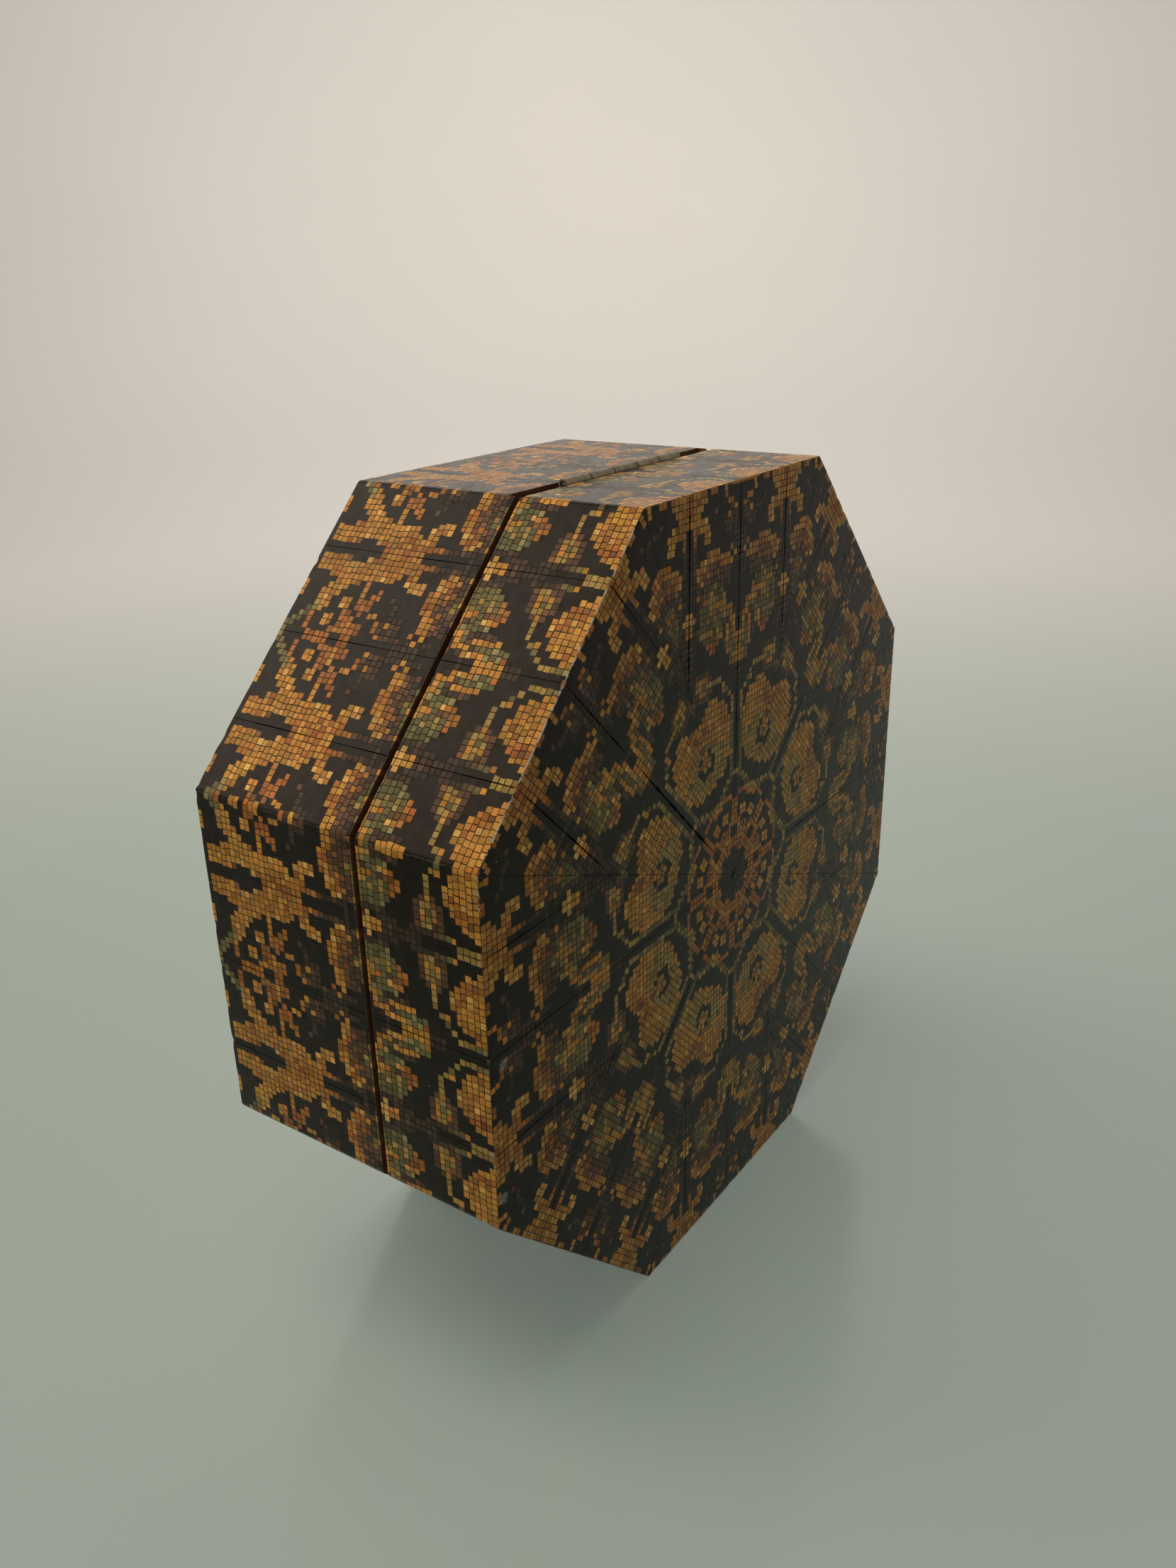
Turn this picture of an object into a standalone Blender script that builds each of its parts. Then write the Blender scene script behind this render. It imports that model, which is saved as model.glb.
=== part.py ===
"""Octagonal wooden box with a hinged lid, faced all over with end-grain wood mosaic.

It stands on one of its eight side facets: the big octagon of the lid faces -Y, the plain back
faces +Y, and the lid hangs from a small butt hinge in the top facet. Metres, +Z up. The origin is
the middle of the facet that it stands on, half way between the lid's face and the back.
"""

import math

import bmesh
import bpy
from mathutils import Matrix, Vector

# Driving dimensions
ACROSS_FLATS = 0.127
BOX_DEPTH = 0.0508
LID_DEPTH = 0.0201
SEAM = 0.0009
MOSAIC = 0.0015
BOARD = 0.0042
GLUE_GAP = 0.0003
ARRIS = 0.0005
HINGE_LENGTH = 0.0315
KNUCKLE_COUNT = 5
KNUCKLE_RADIUS = 0.00085
PIN_RADIUS = 0.0004
LEAF_THICKNESS = 0.0008
LEAF_WIDTH = 0.0050
SCREW_HEAD_RADIUS = 0.0010

# Places worked out from them
SIDES = 8
CENTRE_Z = ACROSS_FLATS / 2
LID_FACE_Y = -BOX_DEPTH / 2
LID_RIM_Y = LID_FACE_Y + LID_DEPTH
BASE_RIM_Y = LID_RIM_Y + SEAM
BACK_Y = BOX_DEPTH / 2
HALF_TURN_OF_A_SIDE = math.pi / SIDES
SKIN = MOSAIC + GLUE_GAP
CARCASE_APOTHEM = ACROSS_FLATS / 2 - SKIN
HOLLOW_APOTHEM = CARCASE_APOTHEM - BOARD
KNUCKLE_GAP = 0.0003
HINGE_Y = (LID_RIM_Y + BASE_RIM_Y) / 2
HINGE_Z = ACROSS_FLATS
BASE_GROOVE = 0.0013
LID_GROOVE = 0.0006
LEAF_TOP = KNUCKLE_RADIUS + KNUCKLE_GAP
SCREW_DROP = (LEAF_TOP + LEAF_WIDTH) / 2
SCREW_SPACING = HINGE_LENGTH * 0.36
SHANK_RADIUS = 0.00045
SHANK_LENGTH = 0.0030
HEAD_DEPTH = 0.0006
RUNNING_GAP = 0.00008
FIT_GAP = 0.0001
CUT_PAST = 0.001

FACETS = ("right", "top_right", "top", "top_left", "left", "bottom_left", "bottom", "bottom_right")


def clear_scene():
    for obj in list(bpy.data.objects):
        bpy.data.objects.remove(obj, do_unlink=True)


def new_collection(name):
    made = bpy.data.collections.new(name)
    bpy.context.scene.collection.children.link(made)
    return made


def finish(name, colour, roughness, metallic=0.0):
    material = bpy.data.materials.new(name)
    material.use_nodes = True
    shader = material.node_tree.nodes["Principled BSDF"]
    shader.inputs["Base Color"].default_value = (*colour, 1)
    shader.inputs["Roughness"].default_value = roughness
    shader.inputs["Metallic"].default_value = metallic
    return material


def put(obj, collection, parent=None, material=None):
    """Files the object in its collection, under its parent, without moving it."""
    for other in obj.users_collection:
        other.objects.unlink(obj)
    collection.objects.link(obj)
    if parent:
        obj.parent = parent
        obj.matrix_parent_inverse = parent_matrix(parent).inverted()
    if material:
        obj.data.materials.clear()
        obj.data.materials.append(material)
    return obj


def parent_matrix(parent):
    return Matrix.Translation(parent.location)


def empty(name, location, collection, parent=None):
    made = bpy.data.objects.new(name, None)
    made.empty_display_size = 0.01
    made.location = location
    collection.objects.link(made)
    if parent:
        made.parent = parent
        made.matrix_parent_inverse = parent_matrix(parent).inverted()
    return made


def mesh_object(name, build):
    """An object whose mesh is built by build(bm)."""
    bm = bmesh.new()
    build(bm)
    bmesh.ops.recalc_face_normals(bm, faces=bm.faces)
    mesh = bpy.data.meshes.new(name)
    bm.to_mesh(mesh)
    bm.free()
    return bpy.data.objects.new(name, mesh)


def box_object(name, low, high):
    low, high = Vector(low), Vector(high)
    size = Matrix.Diagonal((*(high - low), 1))

    def build(bm):
        bmesh.ops.create_cube(bm, size=1, matrix=Matrix.Translation((low + high) / 2) @ size)

    return mesh_object(name, build)


def octagon_prism(name, apothem, front_y, back_y):
    """A prism along Y with flats at the top, bottom and sides."""
    radius = apothem / math.cos(HALF_TURN_OF_A_SIDE)
    along_y = Matrix.Rotation(-math.pi / 2, 4, "X") @ Matrix.Rotation(HALF_TURN_OF_A_SIDE, 4, "Z")
    place = Matrix.Translation((0, (front_y + back_y) / 2, CENTRE_Z)) @ along_y

    def build(bm):
        bmesh.ops.create_cone(
            bm,
            cap_ends=True,
            segments=SIDES,
            radius1=radius,
            radius2=radius,
            depth=back_y - front_y,
            matrix=place,
        )

    return mesh_object(name, build)


def cylinder_along(name, axis, radius, centre, length, segments=24):
    turn = {"X": Matrix.Rotation(math.pi / 2, 4, "Y"), "Y": Matrix.Rotation(-math.pi / 2, 4, "X")}[axis]

    def build(bm):
        bmesh.ops.create_cone(
            bm,
            cap_ends=True,
            segments=segments,
            radius1=radius,
            radius2=radius,
            depth=length,
            matrix=Matrix.Translation(centre) @ turn,
        )

    return mesh_object(name, build)


def boolean(obj, operation, others):
    """Cuts or joins each other object, which is kept as a hidden wire helper."""
    for other in others:
        put(other, cutters)
        other.hide_render = True
        other.display_type = "WIRE"
        modifier = obj.modifiers.new(operation.lower(), "BOOLEAN")
        modifier.operation = operation
        modifier.solver = "EXACT"
        modifier.object = other
    return obj


def plate(name, outline, thickness):
    """A flat plate in its own XY plane, as thick as stated along its Z."""
    curve = bpy.data.curves.new(name, "CURVE")
    curve.dimensions = "2D"
    curve.fill_mode = "BOTH"
    curve.extrude = thickness / 2
    spline = curve.splines.new("POLY")
    spline.points.add(len(outline) - 1)
    for point, (x, y) in zip(spline.points, outline):
        point.co = (x, y, 0, 1)
    spline.use_cyclic_u = True
    return bpy.data.objects.new(name, curve)


def facet_matrix(index, y):
    """Local Y points out of facet number index, local Z along the world's +Y."""
    angle = 2 * math.pi * index / SIDES
    out = Vector((math.cos(angle), 0, math.sin(angle)))
    depth = Vector((0, 1, 0))
    along = out.cross(depth)
    turn = Matrix((along, out, depth)).transposed().to_4x4()
    return Matrix.Translation((0, y, CENTRE_Z)) @ turn


def side_outline():
    """A strip of mosaic seen on end: mitred to its neighbours, with its outer corners eased."""
    outer, inner = ACROSS_FLATS / 2, ACROSS_FLATS / 2 - MOSAIC
    mitre = math.tan(HALF_TURN_OF_A_SIDE)
    half_gap = GLUE_GAP / 2 / math.cos(HALF_TURN_OF_A_SIDE)
    eased = outer - ARRIS * mitre
    right = [
        (inner * mitre - half_gap, inner),
        (eased * mitre - half_gap, eased),
        (outer * mitre - half_gap - ARRIS, outer),
    ]
    return right + [(-x, y) for x, y in reversed(right)]


def side_strip(name, index, front_y, back_y):
    strip = plate(name, side_outline(), back_y - front_y)
    strip.matrix_world = facet_matrix(index, (front_y + back_y) / 2)
    return strip


def panel_outline():
    """One eighth of the lid's face, mitred along its two radii, the very tip cut blunt."""
    mitre = math.tan(HALF_TURN_OF_A_SIDE)
    half_gap = GLUE_GAP / 2 / math.cos(HALF_TURN_OF_A_SIDE)
    tip = 0.0015
    outer = ACROSS_FLATS / 2
    return [
        (tip * mitre - half_gap, tip),
        ((outer - ARRIS) * mitre - half_gap, outer - ARRIS),
        (outer * mitre - half_gap - ARRIS, outer),
        (-outer * mitre + half_gap + ARRIS, outer),
        (-(outer - ARRIS) * mitre + half_gap, outer - ARRIS),
        (-tip * mitre + half_gap, tip),
    ]


def lid_panel(name, index):
    panel = plate(name, panel_outline(), MOSAIC)
    panel.matrix_world = facet_matrix(index, LID_FACE_Y + MOSAIC / 2)
    return panel


def screw_places():
    return [(SCREW_SPACING * step, HINGE_Z - SCREW_DROP) for step in (-1, 0, 1)]


def leaf_recess(name, rim_y, into):
    """The shallow mortise for a hinge leaf, cut into a rim in the direction into (+1 or -1)."""
    half = HINGE_LENGTH / 2 + GLUE_GAP
    bottom = HINGE_Z - LEAF_TOP - LEAF_WIDTH - GLUE_GAP
    face = HINGE_Y + into * (KNUCKLE_GAP / 2 + LEAF_THICKNESS + GLUE_GAP)
    low_y, high_y = sorted((face, rim_y - into * CUT_PAST))
    return box_object(name, (-half, low_y, bottom), (half, high_y, HINGE_Z + CUT_PAST))


def pilot_holes(name, into):
    face = HINGE_Y + into * KNUCKLE_GAP / 2
    length = HEAD_DEPTH + SHANK_LENGTH + GLUE_GAP
    return [
        cylinder_along(
            f"{name}_{number}", "Y", SHANK_RADIUS + FIT_GAP, (x, face + into * length / 2, z), length, 12
        )
        for number, (x, z) in enumerate(screw_places())
    ]


def base_carcase():
    """The tray behind the seam: eight walls and a back board, glued up as one."""
    obj = octagon_prism("base_carcase", CARCASE_APOTHEM, BASE_RIM_Y, BACK_Y)
    hollow = octagon_prism("base_hollow", HOLLOW_APOTHEM, BASE_RIM_Y - CUT_PAST, BACK_Y - BOARD)
    cuts = [hollow, leaf_recess("base_leaf_recess", BASE_RIM_Y, 1)]
    return boolean(obj, "DIFFERENCE", cuts + pilot_holes("base_pilot_hole", 1))


def lid_carcase():
    """The shallower tray of the lid, under the mosaic of its face."""
    face_y = LID_FACE_Y + SKIN
    obj = octagon_prism("lid_carcase", CARCASE_APOTHEM, face_y, LID_RIM_Y)
    hollow = octagon_prism("lid_hollow", HOLLOW_APOTHEM, face_y + BOARD, LID_RIM_Y + CUT_PAST)
    cuts = [hollow, leaf_recess("lid_leaf_recess", LID_RIM_Y, -1)]
    return boolean(obj, "DIFFERENCE", cuts + pilot_holes("lid_pilot_hole", -1))


def knuckle_spans(first):
    """The stretches of X that one leaf's knuckles take up: every second one, from number first."""
    pitch = HINGE_LENGTH / KNUCKLE_COUNT
    start = -HINGE_LENGTH / 2
    for number in range(first, KNUCKLE_COUNT, 2):
        low = start + pitch * number + (KNUCKLE_GAP / 2 if number else 0)
        high = start + pitch * (number + 1) - (KNUCKLE_GAP / 2 if number < KNUCKLE_COUNT - 1 else 0)
        yield low, high


def hinge_leaf(name, first, into):
    """A leaf let into a rim, with its knuckles round the pin."""
    near = HINGE_Y + into * KNUCKLE_GAP / 2
    far = near + into * LEAF_THICKNESS
    low_y, high_y = sorted((near, far))
    half = HINGE_LENGTH / 2
    top, bottom = HINGE_Z - LEAF_TOP, HINGE_Z - LEAF_TOP - LEAF_WIDTH
    leaf = box_object(name, (-half, low_y, bottom), (half, high_y, top))
    joined = []
    for number, (low, high) in enumerate(knuckle_spans(first)):
        tab_top = HINGE_Z - PIN_RADIUS
        joined.append(box_object(f"{name}_tab_{number}", (low, low_y, bottom), (high, high_y, tab_top)))
        centre = ((low + high) / 2, HINGE_Y, HINGE_Z)
        joined.append(
            cylinder_along(f"{name}_knuckle_{number}", "X", KNUCKLE_RADIUS, centre, high - low)
        )
    boolean(leaf, "UNION", joined)
    bore = cylinder_along(
        f"{name}_bore", "X", PIN_RADIUS + RUNNING_GAP, (0, HINGE_Y, HINGE_Z), HINGE_LENGTH + CUT_PAST
    )
    holes = [
        screw_shape(f"{name}_sink_{number}", place, into, FIT_GAP)
        for number, place in enumerate(screw_places())
    ]
    return boolean(leaf, "DIFFERENCE", [bore] + holes)


def screw_shape(name, place, into, grow=0.0):
    """A countersunk screw as a turned profile: its flat head in the seam, its shank in the wood."""
    x, z = place
    profile = [
        (0, grow),
        (SCREW_HEAD_RADIUS + grow, grow),
        (SHANK_RADIUS + grow, -HEAD_DEPTH),
        (SHANK_RADIUS + grow, -HEAD_DEPTH - SHANK_LENGTH + grow),
        (0, -HEAD_DEPTH - SHANK_LENGTH + grow),
    ]
    mesh = bpy.data.meshes.new(name)
    edges = [(i, i + 1) for i in range(len(profile) - 1)]
    mesh.from_pydata([(radius, 0, height) for radius, height in profile], edges, [])
    obj = bpy.data.objects.new(name, mesh)
    turned = obj.modifiers.new("turned", "SCREW")
    turned.axis = "Z"
    turned.steps = 16
    turned.render_steps = 16
    turned.use_merge_vertices = True
    turned.merge_threshold = 0.00001
    head_out = -math.pi / 2 if into < 0 else math.pi / 2
    obj.rotation_euler = (head_out, 0, 0)
    obj.location = (x, HINGE_Y + into * KNUCKLE_GAP / 2, z)
    return obj


def hinge_pin():
    length = HINGE_LENGTH - KNUCKLE_GAP
    return cylinder_along("hinge_pin", "X", PIN_RADIUS, (0, HINGE_Y, HINGE_Z), length)


clear_scene()
parts = new_collection("octagonal_mosaic_box")
cutters = new_collection("cutters")

mosaic = finish("mosaic", (0.16, 0.085, 0.035), 0.3)
carcase_wood = finish("carcase_wood", (0.085, 0.035, 0.015), 0.5)
brass = finish("brass", (0.42, 0.32, 0.17), 0.4, 1.0)

base = empty("base", (0, 0, 0), parts)
lid = empty("lid", (0, HINGE_Y, HINGE_Z), parts, base)

put(base_carcase(), parts, base, carcase_wood)
put(lid_carcase(), parts, lid, carcase_wood)

for index, facet in enumerate(FACETS):
    beside_hinge = facet == "top"
    base_front = BASE_RIM_Y + (BASE_GROOVE if beside_hinge else 0)
    put(side_strip(f"base_mosaic_{facet}", index, base_front, BACK_Y), parts, base, mosaic)
    lid_back = LID_RIM_Y - (LID_GROOVE if beside_hinge else 0)
    put(side_strip(f"lid_mosaic_{facet}", index, LID_FACE_Y + SKIN, lid_back), parts, lid, mosaic)
    put(lid_panel(f"lid_face_{facet}", index), parts, lid, mosaic)

put(hinge_leaf("hinge_leaf_base", 0, 1), parts, base, brass)
put(hinge_leaf("hinge_leaf_lid", 1, -1), parts, lid, brass)
put(hinge_pin(), parts, base, brass)
for number, place in enumerate(screw_places(), 1):
    put(screw_shape(f"hinge_screw_base_{number}", place, 1), parts, base, brass)
    put(screw_shape(f"hinge_screw_lid_{number}", place, -1), parts, lid, brass)
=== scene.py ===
import math

import bmesh
import bpy
import numpy as np
from mathutils import Matrix, Vector


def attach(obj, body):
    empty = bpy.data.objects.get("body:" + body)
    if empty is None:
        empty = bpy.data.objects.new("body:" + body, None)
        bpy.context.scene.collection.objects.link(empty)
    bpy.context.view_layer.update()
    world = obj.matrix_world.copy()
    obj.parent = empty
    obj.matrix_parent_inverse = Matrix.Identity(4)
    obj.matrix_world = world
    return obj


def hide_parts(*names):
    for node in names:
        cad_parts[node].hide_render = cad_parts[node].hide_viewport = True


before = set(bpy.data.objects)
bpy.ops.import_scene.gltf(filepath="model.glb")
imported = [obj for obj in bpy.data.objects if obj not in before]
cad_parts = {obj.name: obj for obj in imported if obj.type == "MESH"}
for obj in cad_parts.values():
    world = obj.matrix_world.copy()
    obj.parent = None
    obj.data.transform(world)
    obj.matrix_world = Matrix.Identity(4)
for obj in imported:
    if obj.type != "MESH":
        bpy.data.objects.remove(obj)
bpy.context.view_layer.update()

MM = 0.001
SIDES = 8
FACETS = ("right", "top_right", "top", "top_left", "left", "bottom_left", "bottom", "bottom_right")

# The box, in metres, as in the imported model
APOTHEM = 0.0635
LID_FACE_Y = -0.0254
LID_RIM_Y = -0.0053
BASE_RIM_Y = -0.0044
BACK_Y = 0.0254
HINGE_Y = -0.00485
HINGE_Z = 0.127
BASE_GROOVE_Y = -0.0031
LID_GROOVE_Y = -0.0059
CARCASE_APOTHEM = 0.0617
HOLLOW_APOTHEM = 0.0575
BOARD = 0.0042
CENTRE = Vector((0, 0, APOTHEM))
HALF_SIDE = math.pi / SIDES
MITRE = math.tan(HALF_SIDE)

# The mosaic
TESSERA = 14.65 * MM / 15
MOSAIC_DEPTH = 1.75 * MM
FACE_ARRIS = 0.22 * MM
RIM_ARRIS = 0.12 * MM
BACK_ARRIS = 0.26 * MM
CORNER_ROUND = 1.1 * MM
CHIP_SPACING = 3.4 * MM
CHIP_REACH = 1.1 * MM
CHIP_SIZE = 1.8
GLUE_INSET = 0.066 * MM
GLUE_RAGGED = (0.6, 1.5)
GLUE_DROP = 0.016 * MM
ROW_CREEP = 0.36
ROW_SLACK = 0.15
ROW_WAVE = 0.18
SQUARE_SLACK = 0.20
NEAREST = 0.03
JOINT_DROP = 2.0
JOINT_GAPE = 0.06 * MM
MITRE_GAPE = 0.035 * MM
PAD_LIFT = 0.008 * MM
PAD_TILT = 0.012
GROUND = 0
FAR_FROM_EDGE = 9.0
FLOOR_LEVEL = -0.03 * MM
PAD, GLUE, JOINT, WALL = 0.0, 1.0, 2.0, 3.0
BLOCK_WIDE = 15
BLOCK_LONG = 61
SEAM_ROW = 32.0
CENTRE_ROW = 80.0

# The woodwork and the hinge
MITRE_GROOVE = 0.05 * MM
RIM_SOFTENING = 0.35 * MM
COVE = 0.6 * MM
HINGE_LENGTH = 0.0315
KNUCKLE_COUNT = 5
KNUCKLE_RADIUS = 0.00085
KNUCKLE_GAP = 0.0003
PIN_RADIUS = 0.0004
RUNNING_GAP = 0.00008
LEAF_THICKNESS = 0.0008
LEAF_WIDTH = 0.0050
LEAF_TOP = KNUCKLE_RADIUS + KNUCKLE_GAP
SCREW_HEAD_RADIUS = 0.0010
SHANK_RADIUS = 0.00045
HEAD_DEPTH = 0.0006
SCREW_Z = HINGE_Z - (LEAF_TOP + LEAF_WIDTH) / 2
SCREW_PLACES = [(HINGE_LENGTH * 0.36 * step, SCREW_Z) for step in (-1, 0, 1)]
ALONG_X = Matrix.Rotation(math.pi / 2, 4, "Y")


# The inlay: one mirrored block of end-grain squares, rows b from the back edge, columns a

WOODS = {
    "ebony": (27, 21, 15),
    "gold": (194, 135, 56),
    "amber": (174, 108, 44),
    "honey": (216, 164, 86),
    "coral": (172, 104, 52),
    "russet": (132, 86, 50),
    "brown": (92, 66, 46),
    "dark": (64, 50, 38),
    "olive": (112, 100, 58),
    "sage": (103, 98, 58),
    "pale": (142, 130, 82),
    "lime": (164, 134, 70),
}

# The greens of the lid's face have faded to browner woods
FACE_DYED = {"sage": "olive", "pale": "lime"}
# Painted shade: every colour on the lid's face is darkened, as if the whole face lay in shade
FACE_PAINTED_SHADE = 0.78

GOLD = ("amber", "gold", "gold", "gold", "honey")
AMBER = ("russet", "amber", "amber", "gold", "gold")
EMBER = ("coral", "amber", "coral", "amber")
RUST = ("brown", "russet", "russet", "amber")
BARK = ("dark", "brown", "brown", "russet")
SHADE = ("dark", "dark", "brown")
MOSS = ("olive", "olive", "pale", "lime")
FERN = ("olive", "sage", "pale", "lime", "olive", "brown", "sage", "amber")
STRAW = ("olive", "lime", "lime", "gold")
NIGHT = ("ebony",)


def blob(b, a, half_long, half_wide):
    return ("blob", (b, a, half_long, half_wide))


def stroke(width, *points):
    return ("stroke", (width, points))


def tiles(b, a, count_b, count_a):
    return ("tiles", (b, a, count_b, count_a))


FIGURES = (
    # Flower scatter round the joint where two blocks meet flower to flower
    (EMBER, tiles(4, 1, 1, 3)),
    (EMBER, stroke(0.9, (5.5, 0.9), (6.3, 0.4), (9.3, 0.4))),
    (AMBER, tiles(9, 1, 2, 1)),
    (GOLD, tiles(7, 2, 2, 2)),
    (AMBER, blob(11.0, 3.0, 1.05, 2.0)),
    (AMBER, tiles(12, 0, 2, 1)),
    (AMBER, tiles(12, 1, 1, 3)),
    (EMBER, tiles(13, 1, 2, 2)),
    (GOLD, tiles(9, 5, 2, 2)),
    (EMBER, tiles(12, 5, 3, 2)),
    (EMBER, tiles(13, 4, 1, 1)),
    (AMBER, stroke(1.6, (14.5, 7.0), (15.5, 8.3))),
    (GOLD, tiles(15, 4, 2, 1)),
    (GOLD, tiles(17, 2, 1, 2)),
    (GOLD, tiles(18, 1, 2, 1)),
    # Shaded flower beside it
    (SHADE, blob(20.3, 3.0, 1.9, 2.1)),
    (BARK, blob(19.9, 2.6, 1.2, 1.2)),
    (SHADE, stroke(1.0, (20.4, 4.5), (19.5, 6.2), (18.5, 7.4))),
    (GOLD, tiles(19, 3, 1, 1)),
    (SHADE, stroke(1.5, (21.4, 1.8), (23.0, 0.9), (26.2, 0.6), (28.0, 1.7))),
    (GOLD, tiles(25, 1, 1, 1)),
    (AMBER, tiles(24, 2, 1, 1)),
    # Curled leaf: its shaded side lies against the seam
    (BARK, blob(28.6, 8.6, 2.6, 4.9)),
    (BARK, blob(28.4, 4.4, 1.9, 1.9)),
    (RUST, blob(27.0, 9.2, 1.3, 3.4)),
    (GOLD, stroke(1.9, (26.5, 3.4), (25.6, 5.2), (25.0, 7.4), (25.2, 9.7), (26.5, 11.6), (27.0, 13.0))),
    (AMBER, tiles(28, 11, 1, 1)),
    (SHADE, tiles(28, 13, 1, 2)),
    # Tendril that joins the leaf to the acanthus
    (GOLD, stroke(1.5, (22.6, 9.8), (20.8, 10.0), (19.5, 11.6), (19.5, 14.0))),
    (AMBER, stroke(1.1, (20.4, 12.9), (21.6, 13.4), (22.7, 13.6))),
    (SHADE, stroke(0.9, (23.2, 13.6), (28.0, 13.7))),
    # Acanthus spread along the joint where two blocks meet eye to eye
    (GOLD, stroke(2.9, (5.4, 6.4), (7.0, 8.2), (9.6, 10.6))),
    (GOLD, tiles(5, 4, 1, 2)),
    (AMBER, blob(6.9, 12.4, 5.9, 2.2)),
    (GOLD, tiles(1, 11, 3, 3)),
    (GOLD, stroke(1.8, (3.0, 11.9), (10.0, 11.6))),
    (GOLD, blob(12.8, 13.9, 6.3, 4.3)),
    (AMBER, blob(14.2, 14.4, 3.9, 1.9)),
    (GOLD, stroke(1.2, (12.6, 7.7), (12.9, 10.5))),
    (NIGHT, tiles(1, 14, 11, 1)),
    (NIGHT, tiles(7, 13, 3, 1)),
    (NIGHT, blob(24.2, 15.2, 4.4, 1.1)),
    # Vine that crosses the back edge
    (MOSS, stroke(1.5, (0.2, 0.9), (4.6, 5.2))),
    # Shaded leaf on the lid side of the seam
    (FERN, blob(34.0, 8.2, 4.6, 4.9)),
    (RUST, blob(38.2, 8.0, 1.7, 2.2)),
    (FERN, blob(36.8, 8.9, 1.6, 1.4)),
    (GOLD, tiles(36, 6, 2, 1)),
    (FERN, stroke(1.6, (35.4, 3.4), (38.2, 2.3), (42.0, 1.9))),
    (SHADE, stroke(1.0, (35.6, 4.9), (39.4, 4.7))),
    (GOLD, stroke(1.3, (32.9, 8.0), (32.6, 4.9), (34.0, 2.9), (36.6, 1.4), (39.6, 0.7), (43.4, 0.7))),
    (SHADE, stroke(1.0, (34.0, 1.4), (36.0, 0.6))),
    (SHADE, stroke(1.0, (43.9, 0.6), (45.9, 0.6))),
    (GOLD, stroke(0.9, (36.6, 3.7), (40.8, 3.7))),
    (("pale", "sage", "olive"), blob(34.6, 11.0, 2.0, 1.2)),
    (("gold", "lime", "amber"), stroke(0.8, (29.6, 7.6), (31.2, 8.6), (31.6, 10.4), (30.6, 12.3))),
    (SHADE, stroke(0.9, (30.0, 13.3), (33.4, 12.4), (36.2, 12.5))),
    # Little cross and stalk on the joint
    (("honey", "gold"), stroke(0.9, (32.4, 14.4), (36.2, 14.4))),
    (("honey",), tiles(33, 13, 1, 1)),
    (SHADE, stroke(0.9, (35.8, 13.4), (38.5, 13.4))),
    (SHADE, stroke(0.9, (36.8, 14.4), (42.4, 14.4))),
    # Bud
    (BARK, blob(44.5, 11.0, 2.7, 2.7)),
    (("gold", "lime", "olive", "gold"), blob(44.3, 11.0, 1.7, 1.9)),
    (SHADE, stroke(1.2, (42.0, 13.6), (44.6, 13.4))),
    # Vines between the bud and the petals
    (STRAW, stroke(1.1, (51.8, 1.2), (49.2, 1.5), (47.5, 2.4), (46.1, 4.2), (44.5, 5.6), (44.4, 8.4))),
    (STRAW, stroke(1.1, (46.4, 13.2), (48.3, 13.8), (50.0, 14.5), (52.4, 14.6))),
    (MOSS, stroke(0.9, (51.8, 1.4), (59.5, 1.4), (61.5, 1.4))),
    # Petal
    (GOLD, blob(54.5, 7.4, 7.2, 5.6)),
    (AMBER, blob(52.6, 8.2, 4.0, 3.4)),
    (GOLD, blob(52.2, 7.0, 3.2, 2.4)),
    (STRAW, blob(57.4, 7.3, 3.6, 4.6)),
    (AMBER, blob(57.0, 10.2, 2.4, 1.9)),
    (NIGHT, stroke(1.1, (55.3, 8.6), (56.6, 7.2), (58.2, 7.4), (59.2, 9.2))),
    (("pale",), tiles(57, 8, 1, 1)),
)


def inside(shape, b, a):
    """Which of the square middles (b, a) lie in the shape."""
    kind, sizes = shape
    if kind == "tiles":
        low_b, low_a, count_b, count_a = sizes
        return (b > low_b) & (b < low_b + count_b) & (a > low_a) & (a < low_a + count_a)
    if kind == "blob":
        mid_b, mid_a, half_long, half_wide = sizes
        return ((b - mid_b) / half_long) ** 2 + ((a - mid_a) / half_wide) ** 2 < 1
    width, points = sizes
    found = np.zeros(b.shape, bool)
    for (b0, a0), (b1, a1) in zip(points, points[1:]):
        run_b, run_a = b1 - b0, a1 - a0
        share = ((b - b0) * run_b + (a - a0) * run_a) / (run_b**2 + run_a**2)
        share = np.clip(share, 0, 1)
        found |= np.hypot(b - b0 - share * run_b, a - a0 - share * run_a) < width / 2
    return found


def scramble(*numbers):
    """A repeatable number from 0 to 1 for each set of numbers."""
    mixed = 0.0
    for step, number in enumerate(numbers):
        mixed = mixed + np.asarray(number, float) * (12.9898 + 65.2357 * step)
    return np.modf(np.abs(np.sin(mixed) * 43758.5453))[0]


def woods_of_block():
    """The number of the wood in each square of the block."""
    names = list(WOODS)
    b, a = np.meshgrid(np.arange(BLOCK_LONG) + 0.5, np.arange(BLOCK_WIDE) + 0.5, indexing="ij")
    chosen = np.zeros(b.shape, int)
    for number, (mix, shape) in enumerate(FIGURES):
        runs = scramble(np.floor(b / 2), np.floor(a / 2), number)
        single = scramble(b, a, number)
        picked = ((0.35 * runs + 0.65 * single) * len(mix)).astype(int)
        numbers = np.array([names.index(name) for name in mix])[picked]
        for turn in (-BLOCK_LONG, 0, BLOCK_LONG):
            mask = inside(shape, b + turn, a)
            chosen[mask] = numbers[mask]
    return chosen


def linear(colour):
    """sRGB from 0 to 255 as linear light."""
    share = np.asarray(colour, float) / 255
    return np.where(share <= 0.04045, share / 12.92, ((share + 0.055) / 1.055) ** 2.4)


BLOCK = woods_of_block()
SIDE_DYES = np.array([linear(colour) for colour in WOODS.values()])
# The lid face's colours, with the faded greens and the painted shade
FACE_SHADED_DYES = FACE_PAINTED_SHADE * np.array([linear(WOODS[FACE_DYED.get(name, name)]) for name in WOODS])


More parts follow.
